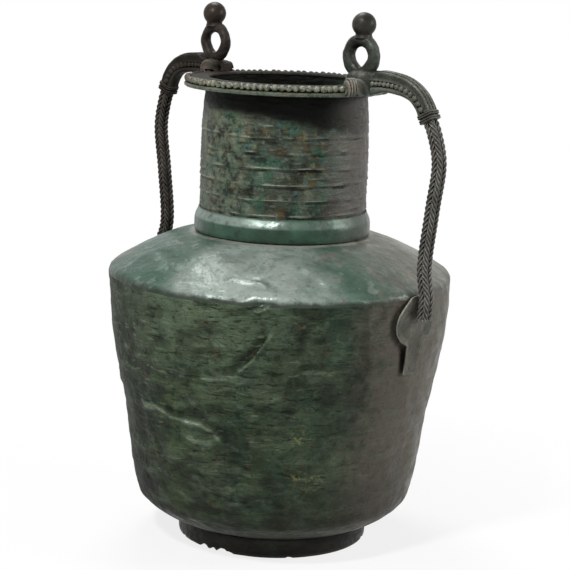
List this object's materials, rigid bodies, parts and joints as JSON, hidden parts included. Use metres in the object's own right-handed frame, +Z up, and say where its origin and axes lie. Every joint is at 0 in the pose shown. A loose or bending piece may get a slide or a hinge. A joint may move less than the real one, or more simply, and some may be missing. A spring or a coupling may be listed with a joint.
{
  "type": "bronze amphora",
  "caption": "Wide-bodied metal jar with a flat shoulder, tall ribbed neck, beaded rim and upright twisted-rod handles topped by a loop and a ball.",
  "frame": {"origin": "middle of the plane that the foot ring stands on, on the vessel's axis", "axes": "+Z up along the vessel's axis, +X towards the right handle, +Y to the back as the right handle is on the right"},
  "size_m": [0.3446, 0.311, 0.4813],
  "materials": {
    "belly": "dark green and brown patina, satin, dented sheet bronze",
    "shoulder": "lighter grey-green patina with worn glossy spots",
    "neck": "mottled green, brown and blue-grey patina",
    "collar": "smooth green patina with a worn bright edge",
    "rim": "pale green and yellowish patina, worn beads",
    "foot": "dark brown patina",
    "arm": "grey-green patina worn brown on the ribs",
    "rod": "dark brown patina, worn lighter on the edges",
    "ball": "smooth near-black patina, polished by handling",
    "plate": "grey-brown patina"
  },
  "bodies": {
    "root": {"foot_ring": "foot", "belly": "belly", "shoulder": "shoulder", "neck": "neck", "neck_collar": "collar", "rim_flange": "rim", "rim_bead_wire": "rim", "right_arm": "arm", "right_pearls_front": "arm", "right_pearls_back": "arm", "right_cuff": "rod", "right_rod_outer_front": "rod", "right_rod_outer_back": "rod", "right_rod_inner_front": "rod", "right_rod_inner_back": "rod", "right_loop": "arm", "right_ball": "ball", "right_foot_plate": "plate", "left_arm": "arm", "left_pearls_front": "arm", "left_pearls_back": "arm", "left_cuff": "rod", "left_rod_outer_front": "rod", "left_rod_outer_back": "rod", "left_rod_inner_front": "rod", "left_rod_inner_back": "rod", "left_loop": "arm", "left_ball": "ball", "left_foot_plate": "plate"}
  },
  "joints": []
}
